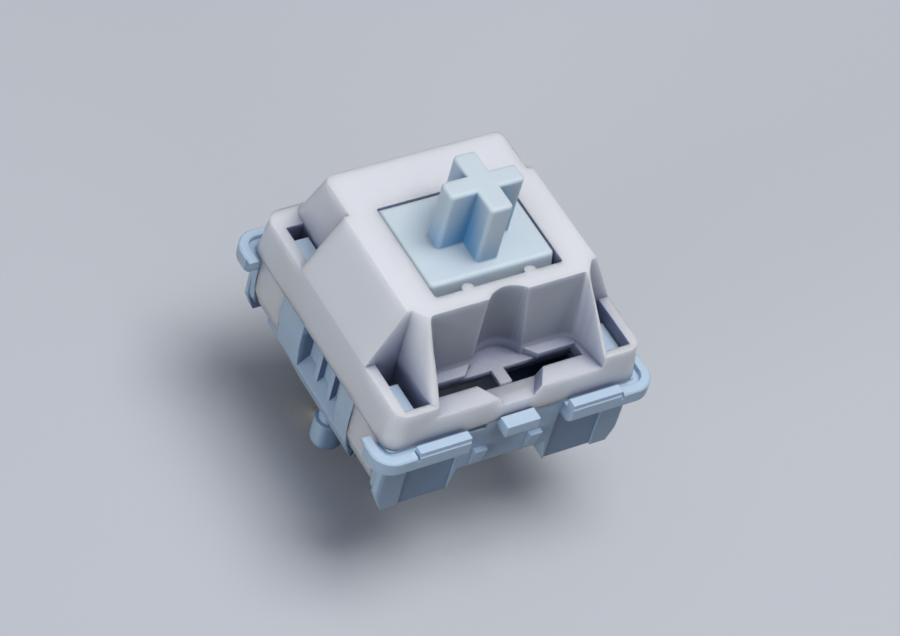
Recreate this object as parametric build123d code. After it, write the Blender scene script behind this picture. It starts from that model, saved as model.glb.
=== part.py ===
from build123d import *
import os

os.makedirs("parts", exist_ok=True)

# Mechanical keyboard switch. Sizes are millimetres.
# Z = 0 is the top of the circuit board and +Z runs up the stem.
# -Y is the lamp side and +Y is the terminal side. The stem runs on the Z axis.

# Heights
plate_seat_z = 5.0
flange_thickness = 1.0
rim_height = 2.25
shoulder_height = 3.35
cross_height = 3.6
stem_travel = 4.0
floor_thickness = 1.0
pin_length = 3.3

# Clearances
moulding_clearance = 0.08
running_clearance = 0.06
seat_gap = 0.04
pin_slot_clearance = 0.03

# Body that goes through the mounting plate
body_width = 13.9
skirt_thickness = 0.42
skirt_bottom_z = 1.45
skirt_corner_radius = 0.3
skirt_corner_cut_x = 0.55
skirt_corner_cut_z = 1.3
panel_depth = 0.12
corner_block_width = 1.45
arch_half_x = 2.75
arch_height = 1.5
arch_slope = 0.25
side_crease_drop = 0.8
side_foot_z = 2.75
side_foot_inset = 0.15
sump_inset_x = 1.5
sump_front_y = -2.65
sump_front_wall = 0.4
bay_wall = 0.5

# Flange that lies on the mounting plate
flange_overhang = 0.85
flange_corner_radius = 1.15
flange_under_cut = 0.3
flange_end_y = 5.75
lip_width = 0.5
lip_rise = 0.1
lip_edge = 0.1
channel_width = 0.7
channel_depth = 0.18
bar_inner_x = 2.85
bar_outer_x = 5.65
bar_depth = 0.55
bar_rise = 0.33
bar_inset = 0.06
bar_step = 0.05
bar_gap = 0.12
tab_half_x = 0.92
tab_thickness = 0.7
rim_notch_outer_x = 2.6
rim_notch_inner_x = 1.5
rim_notch_depth = 0.4
clip_nub_x = 1.55
clip_nub_width = 0.7
clip_nub_depth = 0.3
clip_nub_rise = 1.3

# Sides of the tray
side_recess_front_y = -2.3
side_recess_back_y = 1.5
side_recess_depth = 0.8
side_recess_slope = 0.65
corner_room_y = -2.5
corner_slant = 0.85
corner_wall_step = 0.15
side_rib_width = 0.35
side_rib_count = 2
front_catch_height = 1.4
front_catch_setback = 0.85
front_catch_side = 0.3
back_catch_height = 2.0
back_catch_room = 0.7
corner_hole_edge = 0.29
corner_hole_rise = 0.8

# Inside of the tray
chamber_half_x = 5.5
chamber_front_y = -3.3
chamber_back_y = 3.1
chamber_floor_rise = 0.45
contact_bay_wall = 0.8
lamp_bay_half_x = 5.0
lamp_bay_depth = 2.25
lamp_bay_floor = 0.75
guide_post_width = 0.8
guide_post_rise = 0.8
guide_rail_hold = 0.55
tube_radius = 1.7
tube_drop = 0.7

# Board side
post_radius = 2.0
post_chamfer = 0.4
peg_radius = 0.85
peg_length = 1.9
peg_tip_round = 0.5
peg_x = 5.08
peg_neck_inset = 0.2
peg_neck_height = 0.6

# Outside of the top housing
base_overhang_x = 0.1
base_overhang_y = 0.05
base_corner_radius = 0.75
rim_draft_x = 0.25
rim_draft_y = 0.15
shoulder_foot_front = 0.05
shoulder_foot_back = 0.05
shoulder_inset_x = 1.57
shoulder_inset_front = 2.75
shoulder_inset_back = 1.4
shoulder_corner_radius = 0.7
plateau_corner_radius = 0.35
top_wall = 1.0
plateau_thickness = 1.2
opening_land_x = 1.71
opening_land_front = 0.98
opening_land_back = 2.67
opening_corner_radius = 0.15
guide_nub_radius = 0.33
guide_nub_x = 1.72
guide_nub_height = 0.5

# Corner pockets of the top housing
pocket_rim_wall_x = 0.55
pocket_rim_wall_front = 0.37
pocket_rim_wall_back = 1.2
pocket_width_front = 1.25
pocket_width_back = 0.98
pocket_notch = 0.27
pocket_end_front = 0.65
pocket_end_back_low = 2.4
pocket_end_back_high = 2.6
pocket_wall = 0.25
pillar_foot_gap = 1.27
pillar_land = 0.07
pillar_foot_blend_side = 1.2
pillar_foot_blend_front = 0.4
pillar_top_blend_side = 0.12
pillar_top_blend_front = 0.08
back_foot_blend = 0.9
back_top_blend = 0.55

# Lamp recess in the front of the top housing
window_land = 0.9
window_front_inset = 2.2
window_back_inset = 2.7
window_splay = 0.2
window_splay_depth = 0.9
recess_land = 0.05
recess_slope = 0.45
recess_back_blend = 0.7
recess_top_blend = 0.2
recess_wall = 0.85
lamp_radius = 1.5
lamp_reach = 1.03
sill_drop = 0.65
seat_drop = 0.4
sill_middle_drop = 0.16
sill_middle_back_half_x = 1.85
sill_middle_front_half_x = 1.2
sill_ramp = 0.33
sill_depth = 1.01
ledge_depth = 0.55
ledge_back_x = 1.5
ledge_front_x = 2.05
lead_slot_depth = 0.89
lead_slot_rib = 0.65
lead_slot_rib_x = -0.12
recess_floor_thickness = 0.3

# Clip legs of the top housing
leg_inner_y = 3.6
leg_outer_y = 6.08
leg_inset = 0.05
leg_thickness = 0.65
leg_length = 2.5
leg_taper_height = 1.1
leg_taper = 0.4
leg_gap = 0.04
barb_depth = 0.35
barb_height = 0.5

# Stem
stem_front_gap = 0.67
stem_foot_gap = 0.37
stem_block_height = 4.0
stem_edge = 0.2
stem_corner = 0.25
cross_span_x = 4.06
cross_span_y = 3.8
cross_bar_x = 1.08
cross_bar_y = 1.24
cross_corner = 0.22
cross_top_edge = 0.16
pole_radius = 0.97
pole_bottom_z = 2.2
rail_half_y = 0.5
rail_reach = 0.63
rail_wall = 0.37
rail_floor_gap = 0.1
cam_leg_x = 1.95
cam_leg_width = 0.9
cam_leg_root = 0.4
cam_back_rise = 0.31
cam_lobe_z = 5.9
cam_lobe_flat = 0.15
cam_lobe_slope = 0.55
cam_root_slope = 0.4

# Return spring
spring_radius = 1.95
wire_radius = 0.13
spring_turns = 6
wire_sides = 6

# Contacts
terminal_sheet = 0.3
leaf_sheet = 0.15
pin_width = 0.8
pin_tip = 0.5
fixed_pin_inset = 1.14
fixed_pin_reach = 1.56
moving_pin_x = 2.54
moving_pin_offset = 0.03
contact_pitch = 0.95
contact_base_height = 1.5
fixed_tongue_half_x = 0.8
fixed_tongue_top_z = 5.9
fixed_base_end_x = 1.1
moving_base_half_x = 3.0
leaf_room = 1.1
leaf_bend_z = 4.5
leaf_top_z = 6.3
leaf_tip_flare = 0.25
arm_inner_x = 1.5
arm_outer_x = 2.4
arm_reach = 1.1
arm_touch_gap = 0.03
tongue_half_x = 0.6
tongue_margin = 0.1
point_length = 1.0
point_height = 0.35
point_depth = 0.2
point_z = 5.0

# Levels that follow from the heights
parting_z = plate_seat_z + flange_thickness
rim_top_z = parting_z + rim_height
housing_top_z = rim_top_z + shoulder_height
plateau_underside_z = housing_top_z - plateau_thickness
sill_z = rim_top_z - sill_drop
seat_z = sill_z - seat_drop
arch_top_z = skirt_bottom_z + arch_height
leg_bottom_z = plate_seat_z - leg_length
side_crease_z = plate_seat_z - side_crease_drop

# Half widths and edges that follow from the body
body_half = body_width / 2
skirt_y = body_half - skirt_thickness
flange_half = body_half + flange_overhang
sump_half_x = body_half - sump_inset_x
base_x = body_half + base_overhang_x
base_y = body_half + base_overhang_y
rim_x = base_x - rim_draft_x
rim_y = base_y - rim_draft_y
plateau_x = rim_x - shoulder_inset_x
plateau_front_y = shoulder_inset_front - rim_y
plateau_back_y = rim_y - shoulder_inset_back
shoulder_front_y = shoulder_foot_front - rim_y
shoulder_back_y = rim_y - shoulder_foot_back
opening_x = plateau_x - opening_land_x
opening_front_y = plateau_front_y + opening_land_front
opening_back_y = plateau_back_y - opening_land_back
pocket_rim_x = rim_x - pocket_rim_wall_x
pocket_front_x = pocket_rim_x - pocket_width_front
pocket_back_x = pocket_rim_x - pocket_width_back
pocket_high_x = plateau_x - pocket_notch
pocket_front_y = plateau_front_y + pocket_end_front
pocket_back_low_y = plateau_back_y - pocket_end_back_low
pocket_back_high_y = plateau_back_y - pocket_end_back_high
recess_back_y = plateau_front_y + recess_land
recess_foot_y = recess_back_y - recess_slope
sill_back_y = sill_depth - rim_y
stem_x = opening_x - running_clearance
stem_back_y = opening_back_y - running_clearance
rail_x = stem_x + rail_reach
leg_outer_x = body_half - leg_inset
leg_inner_x = leg_outer_x - leg_thickness
side_recess_x = body_half - side_recess_depth
contact_bay_y = body_half - contact_bay_wall
leaf_y = contact_bay_y - leaf_room
fixed_plate_y = leaf_y - contact_pitch
cam_lobe_y = leaf_y - arm_reach
spring_room = spring_radius + wire_radius + running_clearance


def cuboid(x0, x1, y0, y1, z0, z1):
    """A box between two corners."""
    return Pos((x0 + x1) / 2, (y0 + y1) / 2, (z0 + z1) / 2) * Box(x1 - x0, y1 - y0, z1 - z0)


def frustum(low, high, low_radius, high_radius):
    """A tapered block between two rounded rectangles, each given as x0, x1, y0, y1, z."""
    sections = []
    for (x0, x1, y0, y1, z), radius in ((low, low_radius), (high, high_radius)):
        outline = RectangleRounded(x1 - x0, y1 - y0, radius)
        sections.append(Pos((x0 + x1) / 2, (y0 + y1) / 2, z) * outline)
    return loft(sections, ruled=True)


def upright_prism(points, z0, z1):
    """An outline drawn in X and Y, extruded from z0 to z1."""
    face = make_face(Polyline([(x, y, z0) for x, y in points], close=True))
    return extrude(face, z1 - z0, dir=(0, 0, 1))


def prism_along_x(points, x0, x1):
    """A profile drawn in Y and Z, extruded from x0 to x1."""
    face = make_face(Polyline([(x0, y, z) for y, z in points], close=True))
    return extrude(face, x1 - x0, dir=(1, 0, 0))


def prism_along_y(points, y0, y1):
    """A profile drawn in X and Z, extruded from y0 to y1."""
    face = make_face(Polyline([(x, y0, z) for x, z in points], close=True))
    return extrude(face, y1 - y0, dir=(0, 1, 0))


def soft_outline(corners, z):
    """A level face. Each corner is x, y and the length of straight edge that its curve takes."""
    edges = []
    for index, (x, y, blend) in enumerate(corners):
        point = Vector(x, y, z)
        before_x, before_y, _ = corners[index - 1]
        after_x, after_y, after_blend = corners[(index + 1) % len(corners)]
        after = Vector(after_x, after_y, z)
        ahead = (after - point).normalized()
        if blend:
            behind = (Vector(before_x, before_y, z) - point).normalized()
            edges.append(Bezier(point + behind * blend, point, point + ahead * blend))
        edges.append(Line(point + ahead * blend, after - ahead * after_blend))
    return make_face(edges)


def both_sides(shape, plane):
    """The shape and its mirror image."""
    return shape + mirror(shape, about=plane)


def pocket(low, high, rim_wall_y):
    """Corner space on the -X side. Low and high hold its start, its corner and two blends."""
    (low_start, low_corner, low_side, low_end) = low
    (high_start, high_corner, high_side, high_end) = high
    far = body_width
    side = 1 if low_corner[1] > 0 else -1

    def outline(start, corner, side_blend, end_blend):
        """Edge of the pillar at one level, closed outside the housing."""
        start_point = Vector(*start)
        corner_point = Vector(*corner)
        toward = (start_point - corner_point).normalized()
        curve_start = corner_point + toward * side_blend
        curve_end = corner_point + Vector(end_blend, 0)
        outside = [curve_end, Vector(curve_end.X, side * far), Vector(-far, side * far),
                   Vector(-far, start_point.Y), start_point]
        return make_face([Line(start_point, curve_start), Bezier(curve_start, corner_point, curve_end)]
                         + [Line(a, b) for a, b in zip(outside, outside[1:])])

    low_face = outline(low_start, low_corner, low_side, low_end)
    high_face = outline(high_start, high_corner, high_side, high_end)
    above = loft([Pos(0, 0, rim_top_z) * low_face, Pos(0, 0, housing_top_z) * high_face], ruled=True)
    well_end = side * (rim_y - rim_wall_y)
    well = extrude(Pos(0, 0, parting_z) * low_face, rim_height)
    well &= cuboid(-pocket_rim_x, 0, min(low_start[1], well_end), max(low_start[1], well_end),
                   parting_z, rim_top_z)
    return above + well


def front_pocket():
    """Pocket beside a front pillar, whose foot is wide and rounded."""
    low = ((-pocket_front_x, pocket_front_y), (pillar_foot_gap - pocket_rim_x, shoulder_front_y),
           pillar_foot_blend_side, pillar_foot_blend_front)
    high = ((-pocket_high_x, pocket_front_y), (window_land - pillar_land - plateau_x, plateau_front_y),
            pillar_top_blend_side, pillar_top_blend_front)
    return pocket(low, high, pocket_rim_wall_front)


def back_pocket():
    """Pocket at a back corner, where the upper part is narrower and rounded."""
    low = ((-pocket_back_x, pocket_back_low_y), (-pocket_back_x, shoulder_back_y),
           back_foot_blend, back_foot_blend)
    high = ((-pocket_high_x, pocket_back_high_y), (-pocket_high_x, plateau_back_y),
            back_top_blend, back_top_blend)
    return pocket(low, high, pocket_rim_wall_back)


def window_outline(back_x, middle_x, front_x, back_y, blend, z):
    """Outline of the lamp window at one level, open to the front."""
    far = body_width
    middle_y = back_y - window_splay_depth
    front_y = -rim_y
    half = [(back_x, back_y, blend), (middle_x, middle_y, 0), (front_x, front_y, 0), (front_x, -far, 0)]
    mirrored = [(-x, y, soft) for x, y, soft in reversed(half)]
    return soft_outline(mirrored + half, z)


def sill_notch():
    """Lower middle of the sill, with sloped ends that run outward to the back."""
    low_z = seat_z - sill_middle_drop
    far = body_width
    high = [(-sill_middle_back_half_x, sill_back_y), (sill_middle_back_half_x, sill_back_y),
            (sill_middle_front_half_x, -rim_y), (sill_middle_front_half_x, -far),
            (-sill_middle_front_half_x, -far), (-sill_middle_front_half_x, -rim_y)]
    low = [(x - sill_ramp if x > 0 else x + sill_ramp, y) for x, y in high]
    return loft([make_face(Polyline([(x, y, z) for x, y in points], close=True))
                 for points, z in ((low, low_z), (high, sill_z))], ruled=True)


def lamp_recess():
    """Opening for an indicator lamp: splayed window, cylinder groove, ledges, seat, slots and sill."""
    plateau_window = plateau_x - window_land
    back_x = rim_x - window_back_inset
    front_x = rim_x - window_front_inset
    low = window_outline(back_x, back_x + window_splay, front_x, recess_foot_y, recess_back_blend, sill_z)
    high = window_outline(plateau_window, plateau_window + window_splay, front_x, recess_back_y,
                          recess_top_blend, housing_top_z)
    recess = loft([low, high], ruled=True)
    ledge_front_y = recess_foot_y - ledge_depth
    slot_back_y = sill_back_y + lead_slot_depth
    slot_front_y = sill_back_y
    half_seat = [(ledge_back_x, recess_foot_y), (ledge_front_x, ledge_front_y), (back_x, ledge_front_y),
                 (back_x, slot_front_y)]
    seat_corners = half_seat + [(-x, y) for x, y in reversed(half_seat)]
    seat = upright_prism(seat_corners, seat_z, sill_z)
    lamp_y = recess_back_y - lamp_reach
    groove = extrude(Pos(0, lamp_y, seat_z) * Circle(lamp_radius), housing_top_z - seat_z)
    under_seat = parting_z
    slots = cuboid(-back_x, back_x, slot_front_y, slot_back_y, under_seat, seat_z)
    rib = cuboid(lead_slot_rib_x - lead_slot_rib / 2, lead_slot_rib_x + lead_slot_rib / 2, slot_front_y,
                 slot_back_y, under_seat, seat_z)
    return recess + seat + groove + sill_notch() + (slots - rib)


def housing_cavity():
    """Space inside the top housing for the stem, the contacts and the lamp."""
    inner_front = recess_back_y + recess_wall
    middle_end = pocket_back_high_y - top_wall / 2
    middle = frustum((top_wall - base_x, base_x - top_wall, inner_front, middle_end, parting_z),
                     (top_wall - plateau_x, plateau_x - top_wall, inner_front, middle_end,
                      plateau_underside_z), pocket_wall, pocket_wall)
    low_x = pocket_back_x - top_wall
    high_x = pocket_high_x - top_wall
    block = frustum((-low_x, low_x, inner_front, shoulder_back_y - top_wall, parting_z),
                    (-high_x, high_x, inner_front, plateau_back_y - top_wall, plateau_underside_z),
                    pocket_wall, pocket_wall)
    bay_x = lamp_bay_half_x - moulding_clearance
    bay_front = skirt_thickness + pocket_wall - body_half
    under_seat = cuboid(-bay_x, bay_x, bay_front, recess_foot_y, parting_z, seat_z - recess_floor_thickness)
    return middle + block + under_seat


def top_housing():
    """White shell: rim, sloped upper part, corner pockets, lamp recess, stem opening, clip legs."""
    shell = frustum((-base_x, base_x, -base_y, base_y, parting_z),
                    (-rim_x, rim_x, -rim_y, rim_y, rim_top_z), base_corner_radius, base_corner_radius)
    shell += frustum((-rim_x, rim_x, shoulder_front_y, shoulder_back_y, rim_top_z),
                     (-plateau_x, plateau_x, plateau_front_y, plateau_back_y, housing_top_z),
                     shoulder_corner_radius, plateau_corner_radius)
    shell -= both_sides(front_pocket(), Plane.YZ)
    shell -= both_sides(back_pocket(), Plane.YZ)
    shell -= lamp_recess()
    shell -= housing_cavity()
    opening = RectangleRounded(2 * opening_x, opening_back_y - opening_front_y, opening_corner_radius)
    shell -= extrude(Pos(0, (opening_front_y + opening_back_y) / 2, plateau_underside_z) * opening,
                     plateau_thickness)
    for x in (-guide_nub_x, guide_nub_x):
        nub = Cylinder(guide_nub_radius, guide_nub_height)
        shell += Pos(x, opening_front_y, housing_top_z - guide_nub_height / 2) * nub
    return shell + clip_legs()


def clip_legs():
    """Four legs under the side walls, each with a barb at its inner foot."""
    barb_top_z = leg_bottom_z + barb_height
    profile = [(leg_inner_x, parting_z), (leg_outer_x, parting_z),
               (leg_outer_x, leg_bottom_z + leg_taper_height), (leg_outer_x - leg_taper, leg_bottom_z),
               (leg_inner_x, leg_bottom_z), (leg_inner_x - barb_depth, barb_top_z),
               (leg_inner_x, barb_top_z)]
    leg = prism_along_y(profile, leg_inner_y, leg_outer_y)
    pair = both_sides(leg, Plane.YZ)
    return both_sides(pair, Plane.XZ)


def flange():
    """Corner flanges with a raised lip and a channel, raised bars and middle tabs."""
    outside = RectangleRounded(2 * flange_half, 2 * flange_half, flange_corner_radius)
    plate = extrude(Pos(0, 0, plate_seat_z) * outside, flange_thickness + lip_rise)
    plate = chamfer(plate.edges().group_by(Axis.Z)[0], flange_under_cut)
    plate = chamfer(plate.edges().group_by(Axis.Z)[-1], lip_edge)
    lip_inner = flange_half - lip_width
    lip_inner_radius = flange_corner_radius - lip_width
    channel_z = parting_z - channel_depth
    inside = RectangleRounded(2 * lip_inner, 2 * lip_inner, lip_inner_radius)
    plate -= extrude(Pos(0, 0, parting_z) * inside, lip_rise)
    channel_inner = lip_inner - channel_width
    channel = inside - Rectangle(2 * channel_inner, 2 * channel_inner)
    plate -= extrude(Pos(0, 0, channel_z) * channel, channel_depth)
    top = parting_z + lip_rise
    plate -= cuboid(-flange_half, flange_half, -flange_end_y, flange_end_y, plate_seat_z, top)
    plate -= cuboid(-bar_inner_x, bar_inner_x, -flange_half, flange_half, plate_seat_z, top)
    bar_inner_y = flange_half - bar_depth
    bar_room = cuboid(bar_inner_x, bar_outer_x + bar_gap, bar_inner_y, flange_half, channel_z, top)
    plate -= both_sides(both_sides(bar_room, Plane.YZ), Plane.XZ)
    bar = cuboid(bar_inner_x, bar_outer_x, bar_inner_y, flange_half - bar_inset, channel_z,
                 parting_z + bar_rise)
    bar += cuboid(bar_inner_x, bar_outer_x, bar_inner_y, flange_half, channel_z, parting_z + bar_step)
    bars = both_sides(both_sides(bar, Plane.YZ), Plane.XZ)
    tab_top = parting_z + bar_rise
    tab = cuboid(-tab_half_x, tab_half_x, skirt_y, flange_half, tab_top - tab_thickness, parting_z)
    tab += cuboid(-tab_half_x, tab_half_x, base_y + moulding_clearance, flange_half, parting_z, tab_top)
    return plate + bars + both_sides(tab, Plane.XZ)


def skirt():
    """End wall on the +Y side: arch in the middle, cut lower corners, shallow panels and clip nubs."""
    low_z = skirt_bottom_z
    right = [(arch_half_x - arch_slope, arch_top_z), (arch_half_x, low_z),
             (body_half - skirt_corner_cut_x, low_z), (body_half, low_z + skirt_corner_cut_z),
             (body_half, parting_z)]
    left = [(-x, z) for x, z in reversed(right)]
    wall = prism_along_y(left + right, skirt_y, body_half)
    corner_edges = wall.edges().filter_by(Axis.Z).group_by(Axis.Y)[-1]
    wall = fillet(corner_edges, skirt_corner_radius)
    panel = cuboid(arch_half_x, body_half - corner_block_width, body_half - panel_depth, body_half, low_z,
                   plate_seat_z)
    wall -= both_sides(panel, Plane.YZ)
    nub_z = arch_top_z + clip_nub_rise
    nub = prism_along_x([(body_half, arch_top_z), (body_half + clip_nub_depth, nub_z), (body_half, nub_z)],
                        clip_nub_x - clip_nub_width / 2, clip_nub_x + clip_nub_width / 2)
    return wall + both_sides(nub, Plane.YZ)


def outer_body():
    """Outside of the bottom housing without its flange."""
    side = [(0, 0), (sump_half_x, 0), (body_half - side_foot_inset, side_foot_z),
            (body_half, side_crease_z), (body_half, parting_z), (0, parting_z)]
    half = prism_along_y(side, -skirt_y, skirt_y)
    return both_sides(half, Plane.YZ) + both_sides(skirt(), Plane.XZ)


def side_recess():
    """Recess in the middle of the -X side wall, with upright ribs and a sloped floor."""
    cut = prism_along_y([(-body_half, side_foot_z), (-side_recess_x, side_foot_z + side_recess_slope),
                         (-side_recess_x, parting_z), (-body_half, parting_z)],
                        side_recess_front_y, side_recess_back_y)
    pitch = (side_recess_back_y - side_recess_front_y) / (side_rib_count + 1)
    for index in range(side_rib_count):
        y = side_recess_front_y + (index + 1) * pitch
        cut -= cuboid(-side_recess_x - side_rib_width, -side_recess_x, y - side_rib_width / 2,
                      y + side_rib_width / 2, side_foot_z, parting_z)
    return cut


def leg_slots():
    """Seats for the four clip legs, the catch over each barb and the open corner below."""
    front_y = -leg_outer_y - leg_gap
    back_y = leg_gap - leg_inner_y
    low_z = leg_bottom_z - leg_gap
    barb_x = barb_depth + leg_gap - leg_inner_x
    slot = cuboid(-flange_half, leg_gap - leg_inner_x, front_y, back_y, low_z, parting_z)
    slot += cuboid(-flange_half, barb_x, front_y, back_y, low_z, leg_bottom_z + barb_height + seat_gap)
    corner_x = -sump_half_x + corner_wall_step
    reach = flange_half + corner_x
    slot += upright_prism([(-flange_half, corner_room_y - reach * corner_slant), (corner_x, corner_room_y),
                           (corner_x, -skirt_y), (-flange_half, -skirt_y)], 0, low_z)
    pair = both_sides(slot, Plane.YZ)
    return both_sides(pair, Plane.XZ)


def corner_catches():
    """Blocks of the tray that stand in the corner pockets of the top housing."""
    gap = moulding_clearance
    outer_x = leg_inner_x - leg_gap
    front = cuboid(-outer_x, -pocket_front_x - front_catch_side, pocket_rim_wall_front + gap - rim_y,
                   pocket_front_y - front_catch_setback, parting_z, parting_z + front_catch_height)
    back = cuboid(-outer_x, -pocket_back_x - gap, pocket_back_low_y + gap,
                  rim_y - pocket_rim_wall_back - back_catch_room, parting_z, parting_z + back_catch_height)
    return both_sides(front + back, Plane.YZ)


def corner_holes():
    """Deep holes of the tray behind the front blocks, under the corner pockets."""
    gap = moulding_clearance
    hole = cuboid(corner_hole_edge - pocket_rim_x, -pocket_front_x - gap,
                  pocket_front_y - front_catch_setback, pocket_front_y - gap,
                  leg_bottom_z + corner_hole_rise, parting_z)
    return both_sides(hole, Plane.YZ)


def pin_slot(x, y, size_x, size_y):
    """Slot through the floor for a terminal."""
    gap = pin_slot_clearance
    return cuboid(x - size_x / 2 - gap, x + size_x / 2 + gap, y - size_y / 2 - gap, y + size_y / 2 + gap,
                  0, floor_thickness)


def fixed_contact_seat():
    """Room in the tray for the base of the fixed contact."""
    gap = pin_slot_clearance
    left, right = fixed_pin_sides()
    return cuboid(left - gap, right + gap, fixed_pin_y() - pin_width / 2 - gap, contact_bay_y,
                  floor_thickness, floor_thickness + contact_base_height + gap)


def side_peg(x):
    """Board peg with a rounded tip, and its narrower neck against the sloped side."""
    peg = extrude(Pos(x, 0, -peg_length) * Circle(peg_radius), peg_length)
    peg = fillet(peg.edges().group_by(Axis.Z)[0], peg_tip_round)
    neck = Pos(x, 0, peg_neck_height / 2) * Cylinder(peg_radius - peg_neck_inset, peg_neck_height)
    return peg + neck


def bottom_housing():
    """Pale blue tray: walls, flange, floor, spring tube, guide posts, locating post and pegs."""
    body = outer_body() + flange() + corner_catches()
    top = parting_z
    chamber_floor = side_foot_z + chamber_floor_rise
    sump_x = sump_half_x - bay_wall
    lamp_bay_front = contact_bay_wall - body_half
    lamp_bay_back = lamp_bay_front + lamp_bay_depth
    body -= cuboid(-chamber_half_x, chamber_half_x, chamber_front_y, chamber_back_y, chamber_floor, top)
    body -= cuboid(-sump_x, sump_x, sump_front_y + sump_front_wall, contact_bay_y, floor_thickness, top)
    body -= cuboid(-flange_half, flange_half, -flange_half, sump_front_y, 0, skirt_bottom_z)
    body -= cuboid(-lamp_bay_half_x, lamp_bay_half_x, lamp_bay_front, lamp_bay_back,
                   skirt_bottom_z + lamp_bay_floor, top)
    body -= cuboid(-rim_notch_outer_x, -rim_notch_inner_x, -body_half, lamp_bay_front,
                   parting_z - rim_notch_depth, parting_z)
    body -= corner_holes()
    body -= prism_along_y([(-arch_half_x, 0), (arch_half_x, 0), (arch_half_x, skirt_bottom_z),
                           (arch_half_x - arch_slope, arch_top_z), (-arch_half_x + arch_slope, arch_top_z),
                           (-arch_half_x, skirt_bottom_z)], -body_half, lamp_bay_back)
    recess = side_recess()
    body -= both_sides(recess, Plane.YZ)
    body -= leg_slots()
    post_gap = rail_half_y + running_clearance
    guide = cuboid(rail_x - guide_rail_hold, chamber_half_x, post_gap, post_gap + guide_post_width,
                   floor_thickness, parting_z + guide_post_rise)
    body += both_sides(both_sides(guide, Plane.YZ), Plane.XZ)
    tube_top = parting_z - tube_drop
    body += extrude(Pos(0, 0, floor_thickness) * Circle(tube_radius), tube_top - floor_thickness)
    post = extrude(Pos(0, 0, -pin_length) * Circle(post_radius), pin_length + floor_thickness)
    body += chamfer(post.edges().group_by(Axis.Z)[0], post_chamfer)
    bore_bottom = pole_bottom_z - stem_travel - pole_radius / 2
    bore = Circle(pole_radius + running_clearance)
    body -= extrude(Pos(0, 0, bore_bottom) * bore, tube_top - bore_bottom)
    body -= fixed_contact_seat()
    for x in (-peg_x, peg_x):
        body += side_peg(x)
    body -= pin_slot(sum(fixed_pin_sides()) / 2, fixed_pin_y(), terminal_sheet, pin_width)
    body -= pin_slot(moving_pin_x, leaf_y + moving_pin_offset, pin_width, terminal_sheet)
    return body


def keycap_cross():
    """Cross that a keycap is pushed on, with rounded corners and softened top edges."""
    outline = Rectangle(cross_span_x, cross_bar_x) + Rectangle(cross_bar_y, cross_span_y)
    inner_reach = max(cross_bar_x, cross_bar_y)
    outer = outline.vertices().filter_by(lambda corner: Vector(corner.X, corner.Y).length > inner_reach)
    outline = fillet(outer, cross_corner)
    cross = extrude(Pos(0, 0, housing_top_z) * outline, cross_height)
    return fillet(cross.edges().group_by(Axis.Z)[-1], cross_top_edge)


def cam_leg(x):
    """Leg on the terminal side whose lobe holds the leaf open while the stem is up."""
    cam_back_y = stem_back_y + cam_back_rise
    root_y = stem_back_y - cam_leg_root
    top_z = plateau_underside_z - seat_gap
    upper_z = cam_lobe_z + cam_lobe_flat
    lower_z = cam_lobe_z - cam_lobe_flat
    slope_z = upper_z + cam_lobe_slope
    bottom_z = floor_thickness + stem_travel + rail_floor_gap
    profile = [(root_y, top_z), (stem_back_y, top_z), (cam_back_y, slope_z + cam_root_slope),
               (cam_back_y, slope_z), (cam_lobe_y, upper_z), (cam_lobe_y, lower_z), (cam_back_y, bottom_z),
               (root_y, bottom_z)]
    return prism_along_x(profile, x - cam_leg_width / 2, x + cam_leg_width / 2)


def stem():
    """Moving plunger: keycap cross, top block, hollow skirt, pole, side rails and cam legs."""
    front_y = opening_front_y + stem_front_gap
    foot_y = opening_front_y + stem_foot_gap
    block_bottom_z = housing_top_z - stem_block_height
    block = prism_along_x([(foot_y, block_bottom_z), (stem_back_y, block_bottom_z),
                           (stem_back_y, housing_top_z), (front_y, housing_top_z),
                           (foot_y, plateau_underside_z)], -stem_x, stem_x)
    sideways = Vector(1, 0, 0)
    rising = block.edges().filter_by(lambda edge: edge.tangent_at(0).cross(sideways).length > seat_gap)
    front_corners = rising.filter_by(lambda edge: foot_y < edge.center().Y < front_y
                                     and edge.center().Z > plateau_underside_z)
    block = fillet(front_corners, stem_corner)
    block = fillet(block.edges().group_by(Axis.Z)[-1], stem_edge)
    block += keycap_cross()
    block -= extrude(Pos(0, 0, block_bottom_z) * Circle(spring_room), plateau_underside_z - block_bottom_z)
    rail_bottom_z = floor_thickness + stem_travel + rail_floor_gap
    rail = cuboid(spring_room + rail_wall, rail_x, -rail_half_y, rail_half_y, rail_bottom_z,
                  plateau_underside_z - seat_gap)
    block += both_sides(rail, Plane.YZ)
    for x in (-cam_leg_x, cam_leg_x):
        block += cam_leg(x)
    block += extrude(Pos(0, 0, pole_bottom_z) * Circle(pole_radius), plateau_underside_z - pole_bottom_z)
    return block


def return_spring():
    """Compression spring between the floor and the stem, its round wire drawn with flat sides."""
    low = floor_thickness + wire_radius
    high = plateau_underside_z - seat_gap - wire_radius
    path = Helix((high - low) / spring_turns, high - low, spring_radius, center=(0, 0, low))
    section = Plane(origin=path @ 0, z_dir=path % 0) * RegularPolygon(wire_radius, wire_sides)
    return sweep(section, path=path)


def terminal_profile(width):
    """Half outline of a pin with a tapered tip, as offsets from its centre and levels."""
    tip_z = -pin_length
    return [(-width / 2, floor_thickness), (width / 2, floor_thickness), (width / 2, tip_z + pin_tip),
            (width / 4, tip_z), (-width / 4, tip_z), (-width / 2, tip_z + pin_tip)]


def fixed_pin_sides():
    """Left and right face of the fixed terminal, on the -X side of the contact bay."""
    centre = fixed_pin_inset - (sump_half_x - bay_wall)
    return centre - terminal_sheet / 2, centre + terminal_sheet / 2


def fixed_pin_y():
    """Centre of the fixed terminal, in front of its plate."""
    return fixed_plate_y - fixed_pin_reach


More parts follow.
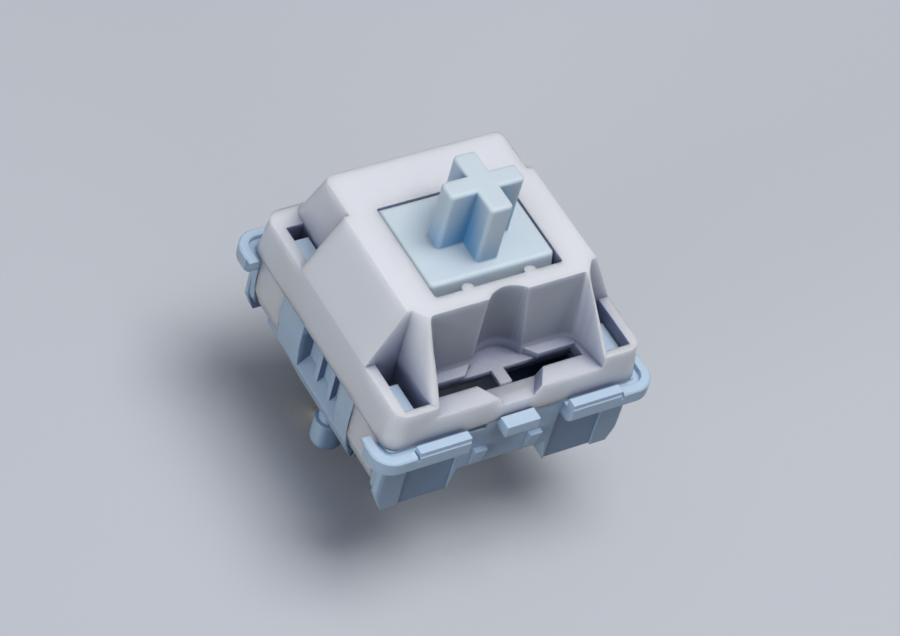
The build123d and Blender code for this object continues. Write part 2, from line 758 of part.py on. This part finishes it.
def fixed_contact():
    """Stamped plate with an upright tongue, bent to its terminal."""
    left, right = fixed_pin_sides()
    pin_y = fixed_pin_y()
    base_top = floor_thickness + contact_base_height
    back_y = fixed_plate_y + terminal_sheet
    plate = cuboid(left, fixed_base_end_x, fixed_plate_y, back_y, floor_thickness, base_top)
    plate += cuboid(-fixed_tongue_half_x, fixed_tongue_half_x, fixed_plate_y, back_y, floor_thickness,
                    fixed_tongue_top_z)
    plate += cuboid(left, right, pin_y - pin_width / 2, back_y, floor_thickness, base_top)
    pin = prism_along_x([(pin_y + offset, z) for offset, z in terminal_profile(pin_width)], left, right)
    return plate + pin


def moving_contact():
    """Leaf spring with two arms bent toward the cam legs, a middle tongue and its terminal."""
    base_top = floor_thickness + contact_base_height
    base = cuboid(-moving_base_half_x, moving_base_half_x, leaf_y, leaf_y + leaf_sheet, floor_thickness,
                  base_top)
    touch_y = cam_lobe_y + arm_touch_gap
    tip_y = touch_y + leaf_tip_flare
    profile = [(leaf_y, base_top), (leaf_y, leaf_bend_z), (touch_y, cam_lobe_z), (tip_y, leaf_top_z),
               (tip_y + leaf_sheet, leaf_top_z), (touch_y + leaf_sheet, cam_lobe_z),
               (leaf_y + leaf_sheet, leaf_bend_z), (leaf_y + leaf_sheet, base_top)]
    arm = prism_along_x(profile, arm_inner_x, arm_outer_x)
    base += both_sides(arm, Plane.YZ)
    base += cuboid(-tongue_half_x, tongue_half_x, leaf_y, leaf_y + leaf_sheet, base_top,
                   point_z + point_length / 2 + tongue_margin)
    pin_y = leaf_y + moving_pin_offset
    pin = prism_along_y([(moving_pin_x + offset, z) for offset, z in terminal_profile(pin_width)],
                        pin_y - terminal_sheet / 2, pin_y + terminal_sheet / 2)
    return base + pin


def fixed_contact_point():
    """Level contact bar on the fixed tongue."""
    face = fixed_plate_y + terminal_sheet
    return prism_along_x([(face, point_z - point_height / 2), (face + point_depth, point_z),
                          (face, point_z + point_height / 2)], -point_length / 2, point_length / 2)


def moving_contact_point():
    """Upright contact bar on the leaf tongue."""
    low_z = point_z - point_length / 2
    return upright_prism([(-point_height / 2, leaf_y), (0, leaf_y - point_depth),
                          (point_height / 2, leaf_y)], low_z, low_z + point_length)


for name, shape in (("top_housing", top_housing()),
                    ("bottom_housing", bottom_housing()),
                    ("stem", stem()),
                    ("return_spring", return_spring()),
                    ("fixed_contact", fixed_contact()),
                    ("moving_contact", moving_contact()),
                    ("fixed_contact_point", fixed_contact_point()),
                    ("moving_contact_point", moving_contact_point())):
    export_step(shape, "parts/" + name + ".step")
    print(name, round(shape.volume, 3))
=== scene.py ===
import bpy
from math import cos, pi, radians, sin
from mathutils import Matrix, Vector


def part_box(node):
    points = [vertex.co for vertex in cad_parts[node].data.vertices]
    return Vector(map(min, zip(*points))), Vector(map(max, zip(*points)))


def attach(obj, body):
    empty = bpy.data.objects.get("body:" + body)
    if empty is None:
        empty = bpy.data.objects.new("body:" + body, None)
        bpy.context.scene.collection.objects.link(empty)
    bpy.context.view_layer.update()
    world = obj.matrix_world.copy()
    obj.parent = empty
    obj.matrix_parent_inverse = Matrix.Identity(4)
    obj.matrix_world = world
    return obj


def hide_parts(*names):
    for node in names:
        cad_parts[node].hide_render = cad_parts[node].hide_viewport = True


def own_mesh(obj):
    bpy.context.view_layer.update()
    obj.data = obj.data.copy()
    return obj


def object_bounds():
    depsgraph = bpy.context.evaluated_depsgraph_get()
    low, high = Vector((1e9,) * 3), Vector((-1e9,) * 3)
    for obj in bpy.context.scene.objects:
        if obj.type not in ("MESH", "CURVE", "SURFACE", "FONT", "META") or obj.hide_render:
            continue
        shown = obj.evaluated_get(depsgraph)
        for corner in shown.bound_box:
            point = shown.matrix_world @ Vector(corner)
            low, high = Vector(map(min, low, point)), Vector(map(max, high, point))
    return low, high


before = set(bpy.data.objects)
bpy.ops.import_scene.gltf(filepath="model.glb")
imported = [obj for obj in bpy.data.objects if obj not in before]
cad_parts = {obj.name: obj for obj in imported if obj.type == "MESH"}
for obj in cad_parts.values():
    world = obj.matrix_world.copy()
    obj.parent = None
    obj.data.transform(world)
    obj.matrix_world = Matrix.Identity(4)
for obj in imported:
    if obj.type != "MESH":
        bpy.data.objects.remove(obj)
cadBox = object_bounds()
mm = 0.001
print("frame loaded")


# small helpers for node trees
def addNode(tree, kind, spot, **values):
    node = tree.nodes.new(kind)
    node.location = spot
    for key, value in values.items():
        setattr(node, key, value)
    return node


def newMaterial(name):
    material = bpy.data.materials.new(name)
    material.use_nodes = True
    tree = material.node_tree
    tree.nodes.clear()
    output = addNode(tree, "ShaderNodeOutputMaterial", (900, 0))
    shader = addNode(tree, "ShaderNodeBsdfPrincipled", (600, 0))
    tree.links.new(shader.outputs[0], output.inputs["Surface"])
    return material, tree, shader


def objectPlace(tree):
    return addNode(tree, "ShaderNodeTexCoord", (-900, 0)).outputs["Object"]


def maths(tree, spot, operation, *sources):
    node = addNode(tree, "ShaderNodeMath", spot, operation=operation)
    for source, entry in zip(sources, node.inputs):
        tree.links.new(source, entry)
    return node.outputs[0]


def splitAxes(tree, spot, source):
    axes = addNode(tree, "ShaderNodeSeparateXYZ", spot)
    tree.links.new(source, axes.inputs[0])
    return axes.outputs


# a measure that runs from start to end becomes a value from low to high
def ramp(tree, spot, source, start, end, low=0.0, high=1.0):
    share = addNode(tree, "ShaderNodeMapRange", spot)
    share.inputs["From Min"].default_value = start
    share.inputs["From Max"].default_value = end
    share.inputs["To Min"].default_value = low
    share.inputs["To Max"].default_value = high
    tree.links.new(source, share.inputs["Value"])
    return share.outputs["Result"]


# the first colour where the share is 0, the second where it is 1; each is three numbers or a socket
def colourMix(tree, spot, share, first, second, blend="MIX"):
    mix = addNode(tree, "ShaderNodeMix", spot, data_type="RGBA", blend_type=blend)
    tree.links.new(share, mix.inputs["Factor"])
    for entry, colour in (("A", first), ("B", second)):
        if isinstance(colour, tuple):
            mix.inputs[entry].default_value = (*colour, 1)
        else:
            tree.links.new(colour, mix.inputs[entry])
    return mix.outputs["Result"]


def noise(tree, spot, source, scale, detail):
    texture = addNode(tree, "ShaderNodeTexNoise", spot)
    texture.inputs["Scale"].default_value = scale
    texture.inputs["Detail"].default_value = detail
    tree.links.new(source, texture.inputs["Vector"])
    return texture.outputs["Fac"]


# uneven gloss and a fine relief, both from one pattern
def finishSurface(tree, shader, pattern, look, reliefDepth):
    gloss = ramp(tree, (250, -50), pattern, 0.0, 1.0, *look["roughness"])
    tree.links.new(gloss, shader.inputs["Roughness"])
    bump = addNode(tree, "ShaderNodeBump", (250, -350))
    bump.inputs["Strength"].default_value = look["bump"]
    bump.inputs["Distance"].default_value = reliefDepth
    tree.links.new(pattern, bump.inputs["Height"])
    tree.links.new(bump.outputs["Normal"], shader.inputs["Normal"])
    return bump


# 1 for what the camera, a reflection or a clear material sees, 0 for light that falls on the object
def seenRay(tree, spot):
    rays = addNode(tree, "ShaderNodeLightPath", spot).outputs
    direct = maths(tree, (spot[0] + 200, spot[1]), "MAXIMUM", rays["Is Camera Ray"], rays["Is Glossy Ray"])
    return maths(tree, (spot[0] + 400, spot[1]), "MAXIMUM", direct, rays["Is Transmission Ray"])


# what all the moulded plastics share
plasticBody = {
    "ior": 1.49,
    "cloudDetail": 3.0,
    "grainDetail": 4.0,
    "grainDepth": 0.02 * mm,
    "paintedShadeSamples": 8,
    "edgeSamples": 6,
    "uprightRange": (0.4, 0.8),
}


# 1 on the upright faces of one stretch of the front side, where painted shade makes them darker than the
# rest
def paintedShadeWall(tree, place, look):
    axes = splitAxes(tree, (-650, 900), place)
    surface = addNode(tree, "ShaderNodeNewGeometry", (-900, 1200))
    facing = splitAxes(tree, (-650, 1200), surface.outputs["True Normal"])
    across = maths(tree, (-450, 1000), "ABSOLUTE", axes["X"])
    upright = maths(tree, (-450, 1200), "ABSOLUTE", facing["Y"])
    result = ramp(tree, (-250, 900), across, *look["paintedShadeWallAcross"])
    limits = [(axes["Y"], look["paintedShadeWallDepth"]), (axes["Z"], look["paintedShadeWallHeight"]),
              (upright, plasticBody["uprightRange"])]
    for step, (measure, limit) in enumerate(limits):
        share = ramp(tree, (-250, 1050 + 150 * step), measure, *limit)
        result = maths(tree, (150 * step, 1100), "MULTIPLY", result, share)
    return result


# moulded plastic: slightly cloudy colour, painted shade in narrow places and, where a look asks for it, on
# a stretch of wall, fine satin grain, soft light inside the wall
def mouldedPlastic(name, look):
    material, tree, shader = newMaterial(name)
    place = objectPlace(tree)
    shader.inputs["IOR"].default_value = plasticBody["ior"]
    shader.inputs["Subsurface Weight"].default_value = look["glow"]
    shader.inputs["Subsurface Radius"].default_value = look["glowRadius"]
    shader.inputs["Subsurface Scale"].default_value = look["glowDepth"]

    cloud = noise(tree, (-650, 250), place, look["cloudScale"], plasticBody["cloudDetail"])
    colour = colourMix(tree, (0, 250), cloud, look["colour"], look["cloudColour"])
    # painted shade: narrow places, where ambient occlusion finds little open space, are painted a deeper,
    # bluer colour
    shadeOcclusion = addNode(tree, "ShaderNodeAmbientOcclusion", (-300, 550), samples=plasticBody["paintedShadeSamples"])
    shadeOcclusion.inputs["Distance"].default_value = look["paintedShadeReach"]
    openness = shadeOcclusion.outputs["AO"]
    if "paintedShadeFade" in look:
        # past the second of these heights no painted shade is added
        fade = ramp(tree, (-400, 750), splitAxes(tree, (-650, 700), place)["Z"], *look["paintedShadeFade"])
        openness = maths(tree, (-150, 700), "MAXIMUM", fade, openness)
    paintedShadeShare = ramp(tree, (0, 550), openness, *look["paintedShadeRange"])
    colour = colourMix(tree, (300, 300), paintedShadeShare, look["paintedShadeColour"], colour)
    # painted shade: the upright faces of that stretch of wall are multiplied darker
    if "paintedShadeWallTint" in look:
        paintedShadeWallShare = paintedShadeWall(tree, place, look)
        colour = colourMix(tree, (450, 300), paintedShadeWallShare, colour, look["paintedShadeWallTint"], "MULTIPLY")
    tree.links.new(colour, shader.inputs["Base Color"])

    grain = noise(tree, (-650, -50), place, look["grainScale"], plasticBody["grainDetail"])
    bump = finishSurface(tree, shader, grain, look, plasticBody["grainDepth"])
    edge = addNode(tree, "ShaderNodeBevel", (0, -350), samples=plasticBody["edgeSamples"])
    edge.inputs["Radius"].default_value = look["edgeRadius"]
    tree.links.new(edge.outputs["Normal"], bump.inputs["Normal"])
    return material


# what all the metals share
metalBody = {"streakDetail": 4.0, "streakDepth": 0.01 * mm}


# stamped or drawn metal: fine streaks along one direction and slightly uneven gloss
def workedMetal(name, look):
    material, tree, shader = newMaterial(name)
    shader.inputs["Metallic"].default_value = 1.0
    stretch = addNode(tree, "ShaderNodeMapping", (-700, 0))
    stretch.inputs["Scale"].default_value = look["streaks"]
    tree.links.new(objectPlace(tree), stretch.inputs["Vector"])
    streak = noise(tree, (-450, 0), stretch.outputs["Vector"], look["streakScale"],
                   metalBody["streakDetail"])
    colour = colourMix(tree, (250, 250), streak, look["colour"], look["streakColour"])
    tree.links.new(colour, shader.inputs["Base Color"])
    finishSurface(tree, shader, streak, look, metalBody["streakDepth"])
    return material


whiteHousingLook = {
    "colour": (0.79, 0.80, 0.85),
    "cloudColour": (0.82, 0.83, 0.87),
    "cloudScale": 260.0,
    "grainScale": 9000.0,
    "roughness": (0.40, 0.52),
    "bump": 0.10,
    "edgeRadius": 0.09 * mm,
    # painted shade in narrow places and on a stretch of the front wall, set by the next seven entries
    "paintedShadeReach": 8.0 * mm,
    "paintedShadeRange": (0.35, 0.90),
    "paintedShadeColour": (0.21, 0.235, 0.34),
    "paintedShadeWallTint": (0.55, 0.57, 0.61),
    "paintedShadeWallAcross": (4.33 * mm, 4.20 * mm),
    "paintedShadeWallDepth": (-2.4 * mm, -2.6 * mm),
    "paintedShadeWallHeight": (7.65 * mm, 7.95 * mm),
    "glow": 1.0,
    "glowRadius": (0.92, 0.95, 1.0),
    "glowDepth": 1.3 * mm,
}
blueTrayLook = {
    "colour": (0.48, 0.615, 0.765),
    "cloudColour": (0.51, 0.645, 0.785),
    "cloudScale": 260.0,
    "grainScale": 9000.0,
    "roughness": (0.36, 0.48),
    "bump": 0.08,
    "edgeRadius": 0.08 * mm,
    # painted shade in narrow places and on a stretch of the front wall, set by the next eight entries
    "paintedShadeReach": 6.0 * mm,
    "paintedShadeRange": (0.08, 0.62),
    "paintedShadeColour": (0.08, 0.15, 0.28),
    "paintedShadeFade": (5.05 * mm, 5.3 * mm),
    "paintedShadeWallTint": (0.40, 0.46, 0.56),
    "paintedShadeWallAcross": (7.0 * mm, 6.6 * mm),
    "paintedShadeWallDepth": (-7.0 * mm, -6.9 * mm),
    "paintedShadeWallHeight": (5.9 * mm, 5.0 * mm),
    "glow": 0.3,
    "glowRadius": (0.3, 0.6, 0.9),
    "glowDepth": 0.5 * mm,
}
blueStemLook = {
    "colour": (0.62, 0.71, 0.77),
    "cloudColour": (0.65, 0.74, 0.80),
    "cloudScale": 300.0,
    "grainScale": 9000.0,
    "roughness": (0.40, 0.50),
    "bump": 0.08,
    "edgeRadius": 0.24 * mm,
    # painted shade in narrow places, set by the next four entries
    "paintedShadeReach": 5.0 * mm,
    "paintedShadeRange": (0.36, 0.88),
    "paintedShadeColour": (0.07, 0.25, 0.48),
    "paintedShadeFade": (11.86 * mm, 11.56 * mm),
    "glow": 0.6,
    "glowRadius": (0.4, 0.65, 0.9),
    "glowDepth": 0.8 * mm,
}
springWireLook = {
    "colour": (0.62, 0.62, 0.64),
    "streakColour": (0.74, 0.74, 0.76),
    "streaks": (1.0, 1.0, 6.0),
    "streakScale": 2500.0,
    "roughness": (0.18, 0.32),
    "bump": 0.08,
}
brassSheetLook = {
    "colour": (0.72, 0.56, 0.28),
    "streakColour": (0.80, 0.66, 0.38),
    "streaks": (1.0, 1.0, 0.12),
    "streakScale": 6000.0,
    "roughness": (0.24, 0.38),
    "bump": 0.12,
}
bronzeLeafLook = {
    "colour": (0.70, 0.43, 0.26),
    "streakColour": (0.80, 0.53, 0.34),
    "streaks": (1.0, 1.0, 0.12),
    "streakScale": 7000.0,
    "roughness": (0.20, 0.34),
    "bump": 0.10,
}
goldBarLook = {
    "colour": (0.90, 0.66, 0.24),
    "streakColour": (0.96, 0.76, 0.36),
    "streaks": (0.15, 1.0, 1.0),
    "streakScale": 9000.0,
    "roughness": (0.14, 0.26),
    "bump": 0.06,
}
whiteHousing = mouldedPlastic("whiteHousing", whiteHousingLook)
blueTray = mouldedPlastic("blueTray", blueTrayLook)
blueStem = mouldedPlastic("blueStem", blueStemLook)
springWire = workedMetal("springWire", springWireLook)
brassSheet = workedMetal("brassSheet", brassSheetLook)
bronzeLeaf = workedMetal("bronzeLeaf", bronzeLeafLook)
goldBar = workedMetal("goldBar", goldBarLook)
nodeFinishes = {
    "top_housing": whiteHousing,
    "bottom_housing": blueTray,
    "stem": blueStem,
    "fixed_contact": brassSheet,
    "moving_contact": bronzeLeaf,
    "fixed_contact_point": goldBar,
    "moving_contact_point": goldBar,
    "return_spring": springWire,
}
for nodeName, finish in nodeFinishes.items():
    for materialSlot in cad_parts[nodeName].material_slots:
        materialSlot.material = finish
print("finishes on the nodes")

# return spring: open coils between two closed end coils, one length of round wire
springShape = {
    "radius": 1.95 * mm,
    "wire": 0.13 * mm,
    "openTurns": 10,
    "endTurns": 1,
    "endPitch": 1.04,  # wire thicknesses from one closed coil to the next
    "stepsPerTurn": 40,
    "sides": 10,
    "weldGap": 0.002 * mm,
    "smoothAngle": 40,
    "stemTravel": 4 * mm,
}
springLow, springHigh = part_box("return_spring")


def coilPart(turns, rise, startHeight):
    bpy.ops.object.select_all(action="DESELECT")
    bpy.ops.mesh.primitive_circle_add(vertices=springShape["sides"], radius=springShape["wire"],
                                      fill_type="NOTHING", rotation=(pi / 2, 0, 0),
                                      location=(springShape["radius"], 0, startHeight))
    bpy.ops.object.transform_apply(location=True, rotation=True, scale=True)
    part = bpy.context.object
    screw = part.modifiers.new("screw", "SCREW")
    screw.angle = 2 * pi * turns
    screw.screw_offset = rise
    screw.steps = screw.render_steps = turns * springShape["stepsPerTurn"]
    screw.use_merge_vertices = False
    bpy.ops.object.modifier_apply(modifier="screw")
    return part


wireSize = 2 * springShape["wire"]
endRise = wireSize * springShape["endPitch"] * springShape["endTurns"]
lowHeight = springLow[2] + springShape["wire"]
openRise = springHigh[2] - springLow[2] - wireSize - 2 * endRise
coils = [coilPart(springShape["endTurns"], endRise, lowHeight),
         coilPart(springShape["openTurns"], openRise, lowHeight + endRise),
         coilPart(springShape["endTurns"], endRise, lowHeight + endRise + openRise)]
bpy.ops.object.select_all(action="DESELECT")
for coil in coils:
    coil.select_set(True)
bpy.context.view_layer.objects.active = coils[0]
bpy.ops.object.join()
returnCoil = bpy.context.object
returnCoil.name = "returnCoil"
bpy.ops.object.mode_set(mode="EDIT")
bpy.ops.mesh.select_all(action="SELECT")
bpy.ops.mesh.remove_doubles(threshold=springShape["weldGap"])
bpy.ops.mesh.select_all(action="DESELECT")
bpy.ops.mesh.select_non_manifold()  # the two open ends of the wire
bpy.ops.mesh.edge_face_add()
bpy.ops.mesh.select_all(action="SELECT")
bpy.ops.mesh.normals_make_consistent(inside=False)
bpy.ops.object.mode_set(mode="OBJECT")
bpy.ops.object.shade_smooth_by_angle(angle=radians(springShape["smoothAngle"]))
returnCoil.data.materials.append(springWire)
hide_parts("return_spring")
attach(returnCoil, "housing")
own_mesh(returnCoil)
print("return spring wound, vertices", len(returnCoil.data.vertices))

# floor that the pins stand on, pale to the eye and darker in the light that it throws back
floorLook = {
    "size": 2.4,
    "seen": (0.58, 0.60, 0.64),
    "bounce": (0.04, 0.045, 0.055),
    "roughness": 0.9,
    "gloss": 0.1,
}
bpy.ops.object.select_all(action="DESELECT")
bpy.ops.mesh.primitive_plane_add(size=floorLook["size"], location=(0, 0, cadBox[0][2]))
floor = bpy.context.object
floor.name = "floor"
floorPaint, tree, shader = newMaterial("floorPaint")
shader.inputs["Roughness"].default_value = floorLook["roughness"]
shader.inputs["Specular IOR Level"].default_value = floorLook["gloss"]
floorColour = colourMix(tree, (300, 0), seenRay(tree, (-400, 0)), floorLook["bounce"], floorLook["seen"])
tree.links.new(floorColour, shader.inputs["Base Color"])
floor.data.materials.append(floorPaint)

# room light: cool from above, weak near the floor, pale where it is seen
roomLook = {
    "fillHigh": (0.24, 0.265, 0.32),
    "fillLow": (0.022, 0.027, 0.038),
    "seen": (0.62, 0.64, 0.68),
}
room = bpy.data.worlds.new("room")
bpy.context.scene.world = room
room.use_nodes = True
tree = room.node_tree
tree.nodes.clear()
output = addNode(tree, "ShaderNodeOutputWorld", (600, 0))
air = addNode(tree, "ShaderNodeBackground", (300, 0))
skyPlace = addNode(tree, "ShaderNodeTexCoord", (-700, 400))
skyHeight = splitAxes(tree, (-500, 400), skyPlace.outputs["Generated"])["Z"]
skyFill = colourMix(tree, (-250, 400), skyHeight, roomLook["fillLow"], roomLook["fillHigh"])
airColour = colourMix(tree, (0, 0), seenRay(tree, (-700, 0)), skyFill, roomLook["seen"])
tree.links.new(airColour, air.inputs["Color"])
tree.links.new(air.outputs[0], output.inputs["Surface"])

# soft boxes, each aimed at the middle of the object
softBoxes = {
    "keyBox": {
        "place": (0.050, -0.035, 0.273),
        "size": 0.16,
        "power": 0.57,
        "colour": (1.0, 0.99, 0.98),
    },
    "leftBox": {
        "place": (-0.245, -0.070, 0.047),
        "size": 0.10,
        "power": 0.23,
        "colour": (0.93, 0.965, 1.0),
    },
    "frontBox": {
        "place": (-0.020, -0.255, 0.085),
        "size": 0.14,
        "power": 0.055,
        "colour": (0.93, 0.96, 1.0),
    },
}
aimPoint = Vector((-0.603, -1.231, 7.0)) * mm
for boxName, box in softBoxes.items():
    lamp = bpy.data.lights.new(boxName, "AREA")
    lamp.shape = "SQUARE"
    lamp.size = box["size"]
    lamp.energy = box["power"]
    lamp.color = box["colour"]
    lampObject = bpy.data.objects.new(boxName, lamp)
    bpy.context.scene.collection.objects.link(lampObject)
    lampObject.location = box["place"]
    lampObject.rotation_euler = (aimPoint - lampObject.location).to_track_quat("-Z", "Y").to_euler()
print("floor and light placed")

# camera at the photograph's viewing angle, for a picture of 900 x 636
cameraView = {
    "azimuth": -41.844,
    "elevation": 46.739,
    "roll": 16.964,
    "distance": 166.595 * mm,
    "lens": 138.79,
    "sensorWidth": 36.0,
    "clipStart": 5 * mm,
}
azimuth = radians(cameraView["azimuth"])
elevation = radians(cameraView["elevation"])
outward = Vector((sin(azimuth) * cos(elevation), -cos(azimuth) * cos(elevation), sin(elevation)))
camera = bpy.data.objects.new("camera", bpy.data.cameras.new("camera"))
bpy.context.scene.collection.objects.link(camera)
camera.data.lens = cameraView["lens"]
camera.data.sensor_width = cameraView["sensorWidth"]
camera.data.clip_start = cameraView["clipStart"]
level = (-outward).to_track_quat("-Z", "Y").to_matrix().to_4x4()
roll = Matrix.Rotation(radians(cameraView["roll"]), 4, "Z")
camera.matrix_world = Matrix.Translation(aimPoint + cameraView["distance"] * outward) @ level @ roll
bpy.context.scene.camera = camera
bpy.context.scene.view_settings.view_transform = "Standard"
